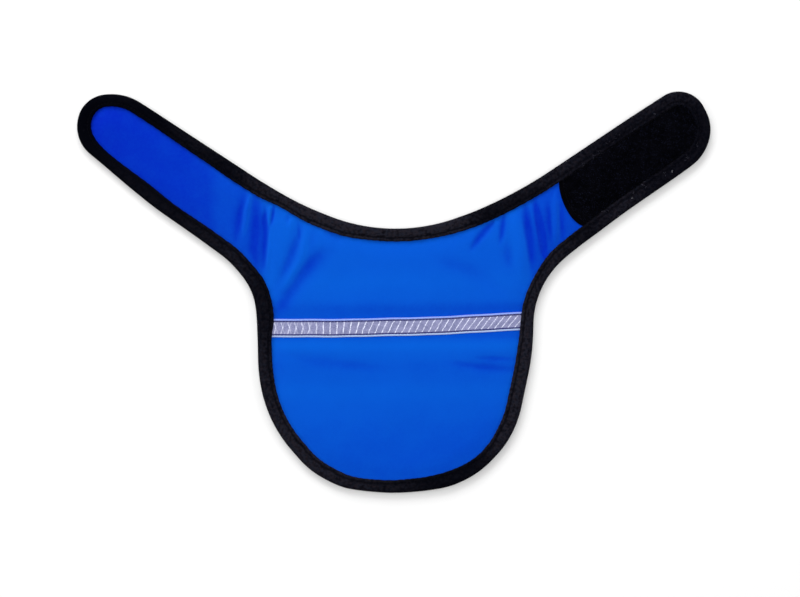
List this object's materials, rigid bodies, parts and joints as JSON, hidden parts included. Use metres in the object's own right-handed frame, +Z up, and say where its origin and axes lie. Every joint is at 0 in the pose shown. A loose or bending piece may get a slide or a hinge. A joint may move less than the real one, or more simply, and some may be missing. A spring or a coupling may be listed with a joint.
{
  "type": "thyroid shield collar",
  "caption": "Flat open neck shield with a rounded bib, two raised straps, bound edge, reflective tape and a hook-and-loop closure.",
  "frame": {"origin": "on the table under the middle of the collar's plan", "axes": "+X towards the strap with the loop patch, +Y towards the neck edge, +Z up out of the front cover"},
  "size_m": [0.5304, 0.3362, 0.0059],
  "materials": {
    "front_nylon": "royal blue woven nylon with a soft sheen",
    "back_nylon": "plain royal blue woven nylon",
    "bias_binding": "black ribbed bias binding, matt",
    "reflective_tape": "grey reflective tape with pale edges and slanting lines",
    "loop_pile": "black napped loop pile",
    "hook_tape": "black woven tape with short hooks"
  },
  "bodies": {
    "root": {"front_cover": "front_nylon", "back_cover": "back_nylon", "edge_binding": "bias_binding", "reflective_tape": "reflective_tape", "loop_patch": "loop_pile", "hook_patch": "hook_tape"}
  },
  "joints": []
}
